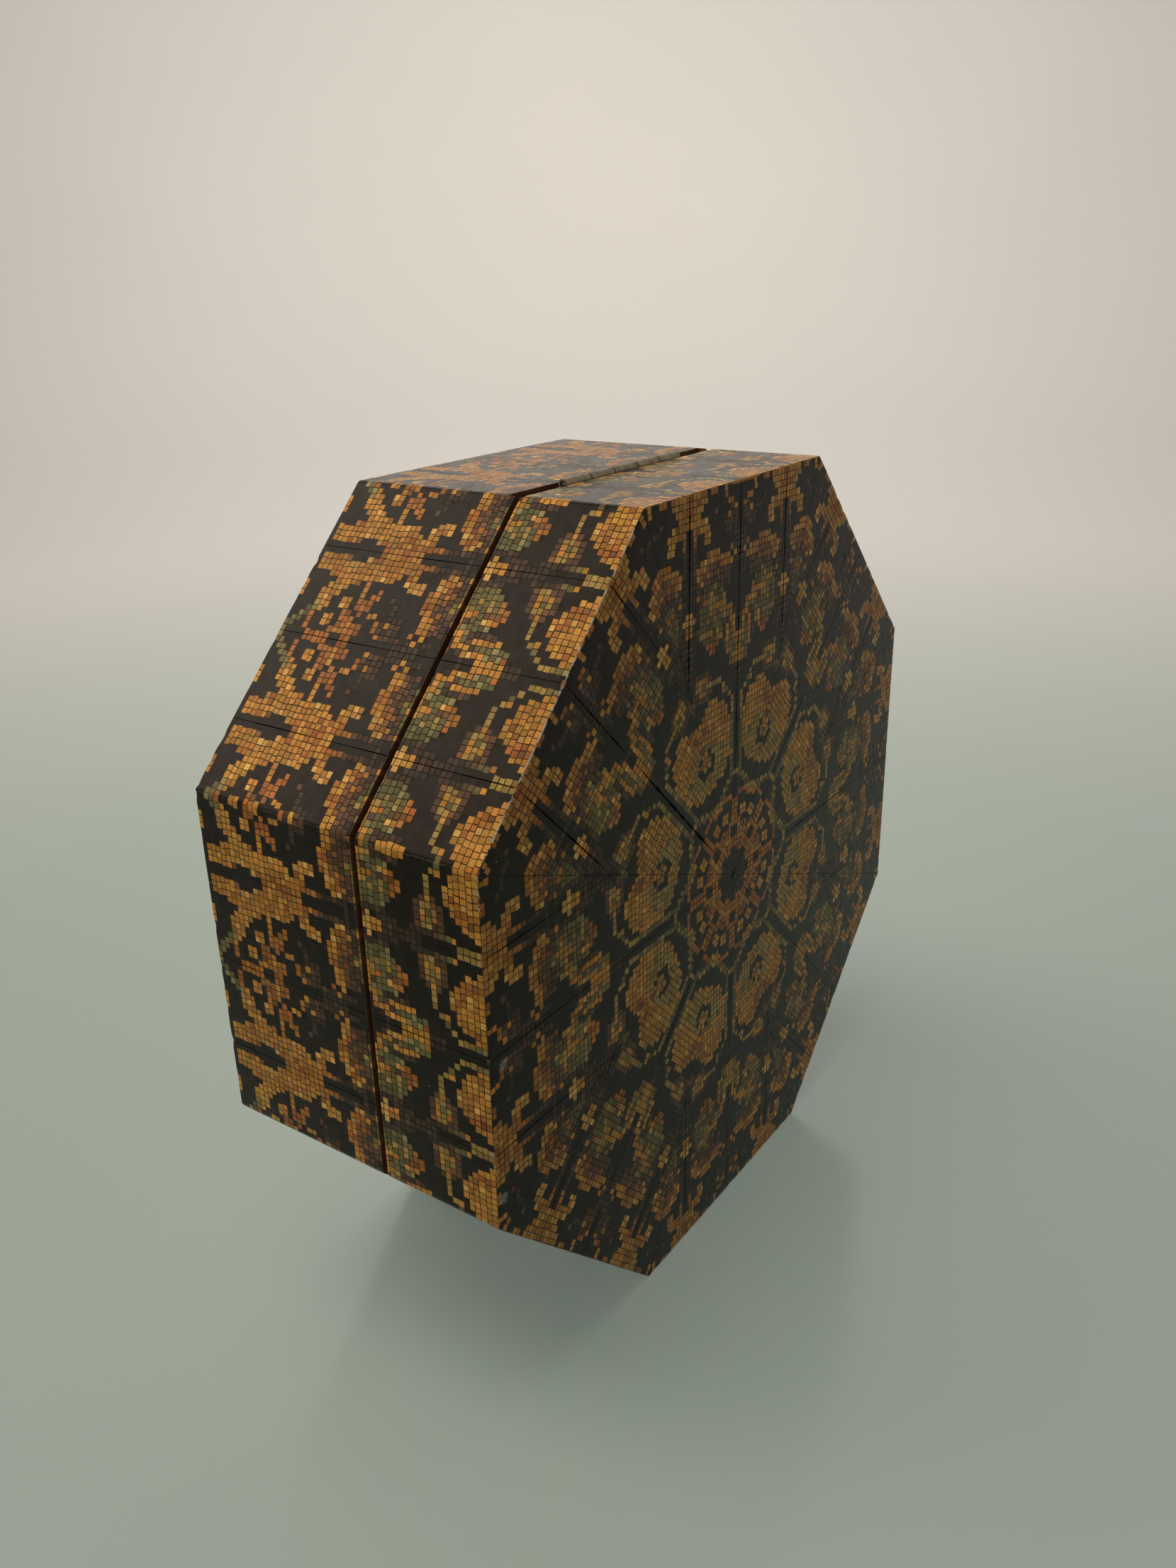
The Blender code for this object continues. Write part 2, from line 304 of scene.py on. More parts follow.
def wood_at(s, row):
    """The woods of the squares at s along the facet, in squares, and at that row."""
    column = np.abs(s)
    column = np.where(column > BLOCK_WIDE, 2 * BLOCK_WIDE - column, column)
    column = np.clip(column.astype(int), 0, BLOCK_WIDE - 1)
    return BLOCK[np.floor(row % BLOCK_LONG).astype(int), column]


# Panels: every square of the figures is its own small pad with a glue line round it. The dark
# ground lies flush, without lines.


def facet_axes(index):
    """Along the facet, out of it, and the world's +Y."""
    angle = 2 * math.pi * index / SIDES
    out = np.array((math.cos(angle), 0, math.sin(angle)))
    along = np.array((-math.sin(angle), 0, math.cos(angle)))
    return along, out


def ease_corner(e, y, edge_y, into, radius):
    """Rounds the profile of depth e against y where a side meets the plane at edge_y."""
    near = (into * (y - edge_y) < radius) & (e < radius)
    away_e, away_y = radius - e, radius - into * (y - edge_y)
    longest = np.maximum(np.maximum(away_e, away_y), 1e-12)
    share = np.minimum(away_e, away_y) / longest
    angle = np.where(away_e >= away_y, share, 2 - share) * math.pi / 4
    level = longest
    eased_e = radius - level * np.cos(angle)
    eased_y = edge_y + into * (radius - level * np.sin(angle))
    return np.where(near, eased_e, e), np.where(near, eased_y, y)


def ease_octagon(x, z, e):
    """Rounds the eight corners of the octagon at depth e."""
    inner = APOTHEM - CORNER_ROUND
    angle = np.arctan2(z, x)
    index = np.round(angle / (2 * HALF_SIDE))
    cos, sin = np.cos(index * 2 * HALF_SIDE), np.sin(index * 2 * HALF_SIDE)
    radial = x * cos + z * sin
    along = -x * sin + z * cos
    near = (e < CORNER_ROUND) & (np.abs(along) > inner * MITRE)
    kept = np.clip(along, -inner * MITRE, inner * MITRE)
    out, over = radial - inner, along - kept
    length = np.maximum(np.hypot(out, over), 1e-12)
    level = CORNER_ROUND - e
    new_radial = np.where(near, inner + level * out / length, radial)
    new_along = np.where(near, kept + level * over / length, along)
    return new_radial * cos - new_along * sin, new_radial * sin + new_along * cos


def chipping(index, s, seed, broken=()):
    """How far an arris is chipped at s along the facet: 0 where it is whole."""
    cell = np.floor(s / CHIP_SPACING)
    middle = (cell + 0.25 + 0.5 * scramble(cell, index, seed)) * CHIP_SPACING
    size = np.clip(1.5 * scramble(cell, index, seed + 1) - 0.55, 0, 1)
    chip = size * np.clip(1 - np.abs(s - middle) / CHIP_REACH, 0, 1)
    for place, reach, depth in broken:
        ragged = 0.7 + 0.6 * scramble(np.floor(s / MM), index, seed + 2)
        chip = np.maximum(chip, depth * ragged * np.clip(1.5 - 1.5 * np.abs(s - place) / reach, 0, 1))
    return chip


def joint_gape(lines, rows, seed, cracks):
    """How far each point of a block joint has opened on either side, in metres."""
    here, there = (scramble(lines, np.floor(rows / 7) + step, seed + 41) for step in (0, 1))
    share = (rows / 7) % 1
    gape = np.clip(here * (1 - share) + there * share - 0.35, 0, 1) * JOINT_GAPE
    for line, low, high, width in cracks:
        swell = np.clip(np.minimum(rows - low, high - rows) / 4, 0, 1)
        ragged = 0.45 + 1.1 * scramble(rows, seed + 43)
        gape = np.where(lines == line, np.maximum(gape, swell * ragged * width), gape)
    return gape


def row_edge(row, s, seed):
    """Where the edge of a row runs at s, both in squares. The rows are strips of uneven width."""
    knot = np.floor(s / 5)
    share = s / 5 - knot
    wave = scramble(row, knot, seed + 7) * (1 - share) + scramble(row, knot + 1, seed + 7) * share
    return row + ROW_WAVE * (wave - 0.5) + ROW_SLACK * (scramble(row, seed + 5) - 0.5)


def square_starts(lines, rows, seed):
    """Where each row's squares meet, in squares. Every row has crept its own way between joints."""
    line, row = np.meshgrid(lines, rows, indexing="ij")
    share = (line % BLOCK_WIDE) / BLOCK_WIDE
    creep = (scramble(row, line // BLOCK_WIDE, seed) - 0.5) * np.sin(math.pi * share) ** 0.6
    slack = np.where(share > 0, scramble(line, row, seed + 3) - 0.5, 0.0)
    return line + ROW_CREEP * creep + SQUARE_SLACK * slack


def row_points(bm, starts, drop, first_r, seed):
    """The points along every row edge, and where in that list each row's squares start."""
    count_s, count_r = starts.shape
    points, places = [], {}
    for edge in range(count_r + 1):
        rows = [row for row in (edge - 1, edge) if 0 <= row < count_r]
        order = sorted((starts[i, row], i, row) for row in rows for i in range(count_s))
        made, last = [], -np.inf
        for s, i, row in order:
            if s - last > NEAREST:
                y = row_edge(first_r + edge, s, seed)
                made.append(bm.verts.new((s * TESSERA, float(y) * TESSERA, -drop[i, edge])))
                last = s
            places[edge, i, row] = len(made) - 1
        points.append(made)
    return points, places


def pad_grid(seed, first_s, last_s, first_r, last_r, row_of, keep, square_colours, cracks=()):
    """A flat field of pads in bmesh: x along the facet, y across the rows, z above the surface.

    first_* and last_* count squares, row_of gives the block's row of a square's middle, and keep
    says whether the square with that middle is near enough to the panel to be made. cracks are
    (line, first row, last row, half width) along the joints.
    """
    lines = np.arange(first_s, last_s + 1)
    edges = np.arange(first_r, last_r + 1)
    middles_s, middles_r = np.meshgrid(lines[:-1] + 0.5, edges[:-1] + 0.5, indexing="ij")
    number = wood_at(middles_s, row_of(middles_r))
    colours = square_colours[number]
    relief = np.where(number == GROUND, 0.0, 1.0)
    around = np.pad(relief, 1, mode="edge")
    around = np.maximum(around[:-1], around[1:])
    around = np.maximum(around[:, :-1], around[:, 1:])
    grid_s, grid_r = np.meshgrid(lines, edges, indexing="ij")
    on_joint = (np.abs(grid_s) % BLOCK_WIDE) == 0
    gape = np.where(on_joint, joint_gape(grid_s, grid_r, seed, cracks), 0.0)
    drop = GLUE_DROP * np.where(on_joint, JOINT_DROP, around) + 2 * gape
    tone = scramble(middles_s, middles_r, seed + 11)
    turn = scramble(middles_s, middles_r, seed + 17)
    lift = (scramble(middles_s, middles_r, seed + 23) - 0.6) * PAD_LIFT * relief
    tilt_x = (scramble(middles_s, middles_r, seed + 31) - 0.5) * PAD_TILT * relief
    tilt_y = (scramble(middles_s, middles_r, seed + 37) - 0.5) * PAD_TILT * relief
    thin, thick = GLUE_RAGGED
    inset = [scramble(middles_s, middles_r, seed + 53 + corner) for corner in range(4)]
    inset = [GLUE_INSET * (thin + (thick - thin) * share) for share in inset]

    bm = bmesh.new()
    wood = bm.faces.layers.float_vector.new("wood")
    lot = bm.faces.layers.float_vector.new("lot")
    points, places = row_points(bm, square_starts(lines, edges[:-1], seed), drop, first_r, seed)

    def along_edge(edge, i, j):
        return points[edge][places[edge, i, j] : places[edge, i + 1, j] + 1]

    def add(corners, i, j, part):
        face = bm.faces.new(corners)
        face[wood] = colours[i, j]
        face[lot] = (tone[i, j], turn[i, j], part)

    def ground_beside_joint(before, after, opened, i, j):
        """The joint runs from the last point of before to the first of after."""
        inset = math.copysign(GLUE_INSET, opened) + opened
        first, last = before[-1], after[0]
        tops = [bm.verts.new((v.co.x - inset, v.co.y, 0)) for v in (first, last)]
        add([before[-2], first, tops[0]], i, j, PAD)
        add([first, last, tops[1], tops[0]], i, j, JOINT)
        add([last, after[1], tops[1]], i, j, PAD)
        add([*before[:-1], *tops, *after[1:]], i, j, PAD)

    for i, j in zip(*np.nonzero(keep(middles_s, middles_r))):
        low, high = along_edge(j, i, j), along_edge(j + 1, i, j)[::-1]
        starts_joint, ends_joint = on_joint[i, j], on_joint[i + 1, j]
        if number[i, j] == GROUND:
            if ends_joint:
                ground_beside_joint(low, high, gape[i + 1, j], i, j)
            elif starts_joint:
                ground_beside_joint(high, low, -gape[i, j], i, j)
            else:
                add(low + high, i, j, PAD)
            continue
        spots = ((i, j), (i + 1, j), (i + 1, j + 1), (i, j + 1))
        ring = (low[0], low[-1], high[0], high[-1])
        mid_x = sum(v.co.x for v in ring) / 4
        mid_y = sum(v.co.y for v in ring) / 4
        tops = []
        for corner, (spot, v) in enumerate(zip(spots, ring)):
            arm_x, arm_y = v.co.x - mid_x, v.co.y - mid_y
            held = 1 - inset[corner][i, j] * math.sqrt(2) / math.hypot(arm_x, arm_y)
            top_x = mid_x + held * arm_x - math.copysign(gape[spot], arm_x)
            height = lift[i, j] + tilt_x[i, j] * arm_x + tilt_y[i, j] * arm_y
            tops.append(bm.verts.new((top_x, mid_y + held * arm_y, height)))
        add(tops, i, j, PAD)
        add([*low, tops[1], tops[0]], i, j, GLUE)
        add([*high, tops[3], tops[2]], i, j, GLUE)
        add([low[-1], high[0], tops[2], tops[1]], i, j, JOINT if ends_joint else GLUE)
        add([high[-1], low[0], tops[0], tops[3]], i, j, JOINT if starts_joint else GLUE)
    bmesh.ops.delete(bm, geom=[v for v in bm.verts if not v.link_faces], context="VERTS")
    return bm


def split(bm, planes, trim):
    """Splits every face by the planes, given as (point, outward normal). trim drops what is outside."""
    for point, normal in planes:
        everything = bm.verts[:] + bm.edges[:] + bm.faces[:]
        bmesh.ops.bisect_plane(
            bm, geom=everything, dist=1e-8, plane_co=point, plane_no=normal, clear_outer=trim
        )


def open_mitres(bm, lines, width):
    """Sinks a fine dark groove along each line (point, normal), which is an edge of the panel."""
    lot = bm.faces.layers.float_vector["lot"]
    lines = [(Vector(point), Vector(normal).normalized()) for point, normal in lines]
    split(bm, [(point - normal * width, normal) for point, normal in lines], trim=False)
    for face in bm.faces:
        middle = face.calc_center_median()
        if any((middle - point).dot(normal) > -width for point, normal in lines):
            face[lot] = (face[lot].x, face[lot].y, JOINT)
    for v in bm.verts:
        if any((v.co - point).dot(normal) > -1e-6 for point, normal in lines):
            v.co.z -= 1.5 * width


def close_panel(bm):
    """Adds the walls and the flat underside, still in plan, and the map that the bake fills."""
    wood = bm.faces.layers.float_vector["wood"]
    lot = bm.faces.layers.float_vector["lot"]
    plan = bm.loops.layers.uv.new("plan")
    bake = bm.loops.layers.uv.new("OFBake")
    low_x = min(v.co.x for v in bm.verts)
    low_y = min(v.co.y for v in bm.verts)
    wide = max(v.co.x for v in bm.verts) - low_x
    tall = max(v.co.y for v in bm.verts) - low_y

    def place(loop, low_v, high_v, low_u=0.01, high_u=0.99):
        share_x = (loop.vert.co.x - low_x) / wide
        share_y = (loop.vert.co.y - low_y) / tall
        u = low_u + (high_u - low_u) * share_x
        loop[bake].uv = (u, low_v + (high_v - low_v) * share_y)
        loop[plan].uv = (loop.vert.co.x / MM, loop.vert.co.y / MM)

    rim = []
    for face in bm.faces:
        for loop in face.loops:
            place(loop, 0.09, 0.99)
            if loop.edge.is_boundary:
                rim.append((face, loop.vert, loop.link_loop_next.vert))
    following = {start: end for _, start, end in rim}
    faces = {start: face for face, start, _ in rim}
    ring = [rim[0][1]]
    while following[ring[-1]] is not ring[0]:
        ring.append(following[ring[-1]])
    if len(ring) != len(rim):
        raise ValueError(f"the panel's outline has {len(rim)} edges, and its ring {len(ring)}")
    below = [bm.verts.new((v.co.x, v.co.y, -MOSAIC_DEPTH)) for v in ring]
    cap = bm.faces.new(list(reversed(below)))
    cap[wood] = tuple(linear(WOODS["brown"]))
    cap[lot] = (0.5, 0.5, WALL)
    for loop in cap.loops:
        place(loop, 0.005, 0.025, 0.01, 0.11)
    count = len(ring)
    for k in range(count):
        n = (k + 1) % count
        wall = bm.faces.new((ring[n], ring[k], below[k], below[n]))
        owner = faces[ring[k]]
        wall[wood] = owner[wood]
        wall[lot] = (owner[lot].x, owner[lot].y, WALL)
        spots = ((k + 1, 1), (k, 1), (k, 0), (k + 1, 0))
        for loop, (step, level) in zip(wall.loops, spots):
            loop[bake].uv = (0.01 + 0.98 * step / count, 0.035 + 0.035 * level)
            loop[plan].uv = (loop.vert.co.x / MM, loop.vert.co.y / MM + 1.75 * (1 - level))


def panel_piece(name, bm, shape, rim):
    """Bends the plan into place. shape maps plan x, y, z to the frame, as arrays.

    rim gives how far each point is from the nearest arris, how rubbed (worn varnish and a painted highlight) and
    how chipped that is.
    """
    flat = np.array([v.co[:] for v in bm.verts])
    x, y, z = flat.T
    distance, rub_and_glint, chipped = rim(x, y)
    distance = np.where(z < -MOSAIC_DEPTH / 2, FAR_FROM_EDGE, distance / MM)
    placed = shape(x, y, z)
    layer = bm.verts.layers.float_vector.new("rim")
    for number, v in enumerate(bm.verts):
        v.co = placed[number]
        v[layer] = (distance[number], rub_and_glint[number], chipped[number])
    mesh = bpy.data.meshes.new(name)
    bm.to_mesh(mesh)
    bm.free()
    mesh.uv_layers["OFBake"].active = True
    mesh.shade_smooth()
    mesh.set_sharp_from_angle(angle=math.radians(11))
    obj = bpy.data.objects.new(name, mesh)
    bpy.context.scene.collection.objects.link(obj)
    return obj


def to_frame(index, s, radial, e, y):
    """From the facet's own axes to the frame, with the octagon's corners eased."""
    along, out = facet_axes(index)
    x = along[0] * s + out[0] * radial
    z = along[2] * s + out[2] * radial
    x, z = ease_octagon(x, z, e)
    return np.stack((x, y, z + APOTHEM), axis=1)


def rub_and_glint_at(facet, s):
    """How rubbed the lid's front arris is at s along the facet: paler worn varnish, and a painted highlight where
    the arris catches light.
    """
    rub = np.full(np.shape(s), CORNER_RUB)
    for low, high, amount in RUBBED_AND_GLINTING.get(facet, ()):
        rub = np.where((s > low) & (s < high), amount, rub)
    return rub


def steps_from(edge, into, radius, count=3):
    return [edge + into * radius * (k + 1) / count for k in range(count)]


def side_panel(name, index, seed, low_y, high_y, low_edge, high_edge, row_of, mitred):
    """A strip of mosaic on one side facet, from low_y to high_y, which is mitred on the lid."""
    facet = FACETS[index]
    half = APOTHEM * MITRE
    first_r = math.floor((BACK_Y - high_y) / TESSERA)
    last_r = math.ceil((BACK_Y - low_y) / TESSERA)
    count = math.ceil(half / TESSERA)
    bm = pad_grid(seed, -count, count, first_r, last_r, row_of, lambda s, r: s > -np.inf, SIDE_DYES)
    far, near = BACK_Y - low_y, BACK_Y - high_y
    split(
        bm,
        [
            ((half, 0, 0), (1, 0, 0)),
            ((-half, 0, 0), (-1, 0, 0)),
            ((0, far, 0), (0, 1, 0)),
            ((0, near, 0), (0, -1, 0)),
        ],
        trim=True,
    )
    corner = CORNER_ROUND * MITRE
    planes = [((side * line, 0, 0), (1, 0, 0)) for side in (-1, 1) for line in steps_from(half, -1, corner)]
    planes += [((0, line, 0), (0, 1, 0)) for line in steps_from(far, -1, low_edge)]
    planes += [((0, line, 0), (0, 1, 0)) for line in steps_from(near, 1, high_edge)]
    split(bm, planes, trim=False)
    close_panel(bm)

    def chips(x):
        low_broken = BROKEN.get(facet, ()) if mitred else ()
        return chipping(index, x, LID_SEED if mitred else seed, low_broken), chipping(index, x, seed + 9)

    def shape(x, plan_y, z):
        e = -z
        y = BACK_Y - plan_y
        if mitred:
            y = high_y + (y - high_y) * (1 - e / (high_y - low_y))
        skin = e < MOSAIC_DEPTH / 2
        low_chip, high_chip = chips(x)
        eased_e, eased_y = ease_corner(e, y, low_y, 1, low_edge * (1 + CHIP_SIZE * low_chip))
        eased_e, eased_y = ease_corner(eased_e, eased_y, high_y, -1, high_edge * (1 + CHIP_SIZE * high_chip))
        e, y = np.where(skin, eased_e, e), np.where(skin, eased_y, y)
        radial = APOTHEM - e
        return to_frame(index, x * radial / APOTHEM, radial, e, y)

    def rim(x, plan_y):
        y = BACK_Y - plan_y
        to_low, to_high = y - low_y, high_y - y
        distance = np.minimum(np.minimum(half - np.abs(x), to_low), to_high)
        low_chip, high_chip = chips(x)
        chipped = np.where(to_low < to_high, low_chip, high_chip)
        rub_and_glint = np.where(distance == to_low, rub_and_glint_at(facet, x) if mitred else SEAM_RUB, CORNER_RUB)
        return distance, rub_and_glint, chipped * (np.minimum(to_low, to_high) < 0.5 * MM)

    bmesh.ops.reverse_faces(bm, faces=bm.faces)
    return panel_piece(name, bm, shape, rim)


def face_panel(name, index, seed, cracks):
    """One eighth of the lid's face."""
    half = APOTHEM * MITRE
    count = math.ceil(half / TESSERA)
    last_r = math.ceil(APOTHEM / TESSERA)

    def keep(s, r):
        return np.abs(s) < r * MITRE + 2

    bm = pad_grid(seed, -count, count, 0, last_r, lambda r: CENTRE_ROW - r, keep, FACE_SHADED_DYES, cracks)
    turn_x, turn_y = math.cos(HALF_SIDE), math.sin(HALF_SIDE)
    mitres = [((0, 0, 0), (turn_x, -turn_y, 0)), ((0, 0, 0), (-turn_x, -turn_y, 0))]
    split(bm, mitres + [((0, APOTHEM, 0), (0, 1, 0))], trim=True)
    open_mitres(bm, mitres, MITRE_GAPE)
    corner = CORNER_ROUND * MITRE
    planes = [((side * line, 0, 0), (1, 0, 0)) for side in (-1, 1) for line in steps_from(half, -1, corner)]
    planes += [((0, line, 0), (0, 1, 0)) for line in steps_from(APOTHEM, -1, FACE_ARRIS)]
    split(bm, planes, trim=False)
    close_panel(bm)

    def chips(x):
        return chipping(index, x, LID_SEED, BROKEN.get(FACETS[index], ()))

    def shape(x, plan_r, z):
        depth = -z
        radial = plan_r * (APOTHEM - depth) / APOTHEM
        e, y = APOTHEM - radial, LID_FACE_Y + depth
        eased_e, eased_y = ease_corner(e, y, LID_FACE_Y, 1, FACE_ARRIS * (1 + CHIP_SIZE * chips(x)))
        skin = depth < MOSAIC_DEPTH / 2
        e, y = np.where(skin, eased_e, e), np.where(skin, eased_y, y)
        radial = APOTHEM - e
        s = x * radial / np.maximum(plan_r, 1e-9)
        return to_frame(index, s, radial, e, y)

    def rim(x, plan_r):
        distance = APOTHEM - plan_r
        return distance, rub_and_glint_at(FACETS[index], x), chips(x) * (distance < 0.5 * MM)

    return panel_piece(name, bm, shape, rim)


# Plain woodwork: trays made of eight mitred boards and a flat one


def ring_of(bm, apothem, y, normal, depth):
    """One ring of a tray's outline. Each corner has a fine groove where the boards are mitred."""
    made = []
    for index in range(SIDES):
        along, out = facet_axes(index)
        reach = apothem * MITRE - MITRE_GROOVE
        for s in (-reach, reach):
            spot = along * s + out * apothem
            made.append(bm.verts.new((spot[0], y, spot[2] + APOTHEM)))
        sunk = apothem - normal[0] * depth
        spot = along * sunk * MITRE + out * sunk
        made.append(bm.verts.new((spot[0], y - normal[1] * depth, spot[2] + APOTHEM)))
    return made


def tray(name, profile):
    """profile runs from the middle of the outer face, round the rim, to the middle of the floor."""
    bm = bmesh.new()
    count = len(profile)
    rings = []
    for k, (apothem, y) in enumerate(profile):
        before, after = profile[max(k - 1, 0)], profile[min(k + 1, count - 1)]
        run = Vector((after[0] - before[0], after[1] - before[1])).normalized()
        normal = (-run.y, run.x) if profile[0][1] > profile[-1][1] else (run.y, -run.x)
        depth = MITRE_GROOVE if 0 < k < count - 1 else 0
        rings.append(ring_of(bm, apothem, y, normal, depth))
    for ring, following in zip(rings, rings[1:]):
        total = len(ring)
        for k in range(total):
            n = (k + 1) % total
            bm.faces.new((ring[k], ring[n], following[n], following[k]))
    bm.faces.new(list(reversed(rings[0])))
    bm.faces.new(rings[-1])
    bmesh.ops.recalc_face_normals(bm, faces=bm.faces)
    mesh = bpy.data.meshes.new(name)
    bm.to_mesh(mesh)
    bm.free()
    obj = bpy.data.objects.new(name, mesh)
    bpy.context.scene.collection.objects.link(obj)
    return obj


def tray_profile(outer_y, rim_y, floor_y):
    """Out along the closed face, down the outside, over the rim, down the inside, to the floor."""
    out = 1 if outer_y > rim_y else -1
    soft = RIM_SOFTENING
    return [
        (CARCASE_APOTHEM - soft, outer_y),
        (CARCASE_APOTHEM - soft * 0.3, outer_y - out * soft * 0.3),
        (CARCASE_APOTHEM, outer_y - out * soft),
        (CARCASE_APOTHEM, rim_y + out * soft),
        (CARCASE_APOTHEM - soft * 0.3, rim_y + out * soft * 0.3),
        (CARCASE_APOTHEM - soft, rim_y),
        (HOLLOW_APOTHEM + soft, rim_y),
        (HOLLOW_APOTHEM + soft * 0.3, rim_y + out * soft * 0.3),
        (HOLLOW_APOTHEM, rim_y + out * soft),
        (HOLLOW_APOTHEM, floor_y - out * COVE),
        (HOLLOW_APOTHEM - COVE * 0.3, floor_y - out * COVE * 0.3),
        (HOLLOW_APOTHEM - COVE, floor_y),
    ]


def grain_map(mesh, floor_is, floor_y):
    """Stores where each corner lies in its own board: along the grain, across it and through it."""
    values = np.zeros((len(mesh.loops), 3))
    for face in mesh.polygons:
        centre = face.center - CENTRE
        on_floor = floor_is * (centre.y - floor_y) > -COVE or abs(face.normal.y) > 0.9 and (
            floor_is * (centre.y - floor_y) > -1 * MM
        )
        index = round(math.atan2(centre.z, centre.x) / (2 * HALF_SIDE)) % SIDES
        along, out = facet_axes(index)
        for loop in face.loop_indices:
            spot = np.array(mesh.vertices[mesh.loops[loop].vertex_index].co - CENTRE)
            if on_floor:
                values[loop] = (spot[0], spot[2], spot[1] + 0.31)
            else:
                values[loop] = (spot @ along + 0.11 * index, spot[1], spot @ out + 0.07 * index)
    layer = mesh.attributes.new("grain", "FLOAT_VECTOR", "CORNER")
    layer.data.foreach_set("vector", (values / MM).ravel())


def applied(obj):
    """Turns the object's modifiers into its mesh."""
    graph = bpy.context.evaluated_depsgraph_get()
    mesh = bpy.data.meshes.new_from_object(obj.evaluated_get(graph))
    old = obj.data
    obj.modifiers.clear()
    obj.data = mesh
    mesh.name = old.name
    bpy.data.meshes.remove(old)
    return obj


def boolean(obj, operation, others):
    for other in others:
        modifier = obj.modifiers.new(operation.lower(), "BOOLEAN")
        modifier.operation = operation
        modifier.solver = "EXACT"
        modifier.object = other
    bpy.context.view_layer.update()
    applied(obj)
    for other in others:
        bpy.data.objects.remove(other, do_unlink=True)
    return obj


def block_between(name, low, high, bevel=0.0):
    low, high = Vector(low), Vector(high)
    bm = bmesh.new()
    size = Matrix.Diagonal((*(high - low), 1))
    bmesh.ops.create_cube(bm, size=1, matrix=Matrix.Translation((low + high) / 2) @ size)
    if bevel:
        bmesh.ops.bevel(
            bm, geom=bm.edges[:], offset=bevel, segments=2, profile=0.5, affect="EDGES"
        )
    return link_mesh(name, bm)


def link_mesh(name, bm):
    mesh = bpy.data.meshes.new(name)
    bm.to_mesh(mesh)
    bm.free()
    obj = bpy.data.objects.new(name, mesh)
    bpy.context.scene.collection.objects.link(obj)
    return obj


def turned(name, profile, matrix, segments=32):
    """A turned solid: profile is (radius, height) from one end of its axis to the other."""
    bm = bmesh.new()
    rings = []
    for radius, height in profile:
        if radius < 1e-9:
            rings.append([bm.verts.new((0, 0, height))])
            continue
        angles = [2 * math.pi * k / segments for k in range(segments)]
        rings.append([bm.verts.new((radius * math.cos(a), radius * math.sin(a), height)) for a in angles])
    for low, high in zip(rings, rings[1:]):
        for k in range(segments):
            n = (k + 1) % segments
            corners = [low[k % len(low)], low[n % len(low)], high[n % len(high)], high[k % len(high)]]
            distinct = list(dict.fromkeys(corners))
            bm.faces.new(distinct)
    bmesh.ops.remove_doubles(bm, verts=bm.verts, dist=1e-7)
    bmesh.ops.recalc_face_normals(bm, faces=bm.faces)
    bm.transform(matrix)
    return link_mesh(name, bm)


# The hinge

BORE_RADIUS = PIN_RADIUS + RUNNING_GAP
OFFSET = 0.02 * MM  # keeps faces that meet in a join or a cut off each other's planes


def knuckle_profile(length):
    """A tube round the pin's bore, with eased rims. The last point closes the ring."""
    ease = 0.08 * MM
    return [
        (BORE_RADIUS, -length / 2),
        (KNUCKLE_RADIUS - ease, -length / 2),
        (KNUCKLE_RADIUS, -length / 2 + ease),
        (KNUCKLE_RADIUS, length / 2 - ease),
        (KNUCKLE_RADIUS - ease, length / 2),
        (BORE_RADIUS, length / 2),
        (BORE_RADIUS, -length / 2),
    ]


def hinge_leaf(name, first, into):
    """A leaf with every second knuckle from number first, and countersunk holes for its screws."""
    near = HINGE_Y + into * KNUCKLE_GAP / 2
    far = near + into * LEAF_THICKNESS
    low_y, high_y = sorted((near, far))
    half = HINGE_LENGTH / 2
    top, bottom = HINGE_Z - LEAF_TOP, HINGE_Z - LEAF_TOP - LEAF_WIDTH
    leaf = block_between(name, (-half, low_y, bottom), (half, high_y, top), bevel=0.07 * MM)
    pitch = HINGE_LENGTH / KNUCKLE_COUNT
    joined = []
    for number in range(first, KNUCKLE_COUNT, 2):
        low = -half + pitch * number + (KNUCKLE_GAP / 2 if number else 0)
        high = -half + pitch * (number + 1) - (KNUCKLE_GAP / 2 if number < KNUCKLE_COUNT - 1 else 0)
        tab_low = (low + OFFSET, low_y + OFFSET, top - 0.5 * MM)
        tab_high = (high - OFFSET, high_y - OFFSET, HINGE_Z - BORE_RADIUS - OFFSET)
        joined.append(block_between(f"{name}_tab_{number}", tab_low, tab_high))
        place = Matrix.Translation(((low + high) / 2, HINGE_Y, HINGE_Z)) @ ALONG_X
        joined.append(turned(f"{name}_knuckle_{number}", knuckle_profile(high - low), place))
    boolean(leaf, "UNION", joined)
    cut = []
    for x, z in SCREW_PLACES:
        grow = 0.08 * MM
        sink = [
            (0, MM),
            (SCREW_HEAD_RADIUS + grow, MM),
            (SCREW_HEAD_RADIUS + grow, OFFSET),
            (SHANK_RADIUS + grow, -HEAD_DEPTH),
            (SHANK_RADIUS + grow, -2 * MM),
            (0, -2 * MM),
        ]
        place = Matrix.Translation((x, near, z)) @ head_towards(into)
        cut.append(turned(f"{name}_sink", sink, place))
    return boolean(leaf, "DIFFERENCE", cut)


def head_towards(into):
    """Turns a screw's axis, head at +Z, so that its head looks out of the rim that it holds."""
    return Matrix.Rotation(into * math.pi / 2, 4, "X")


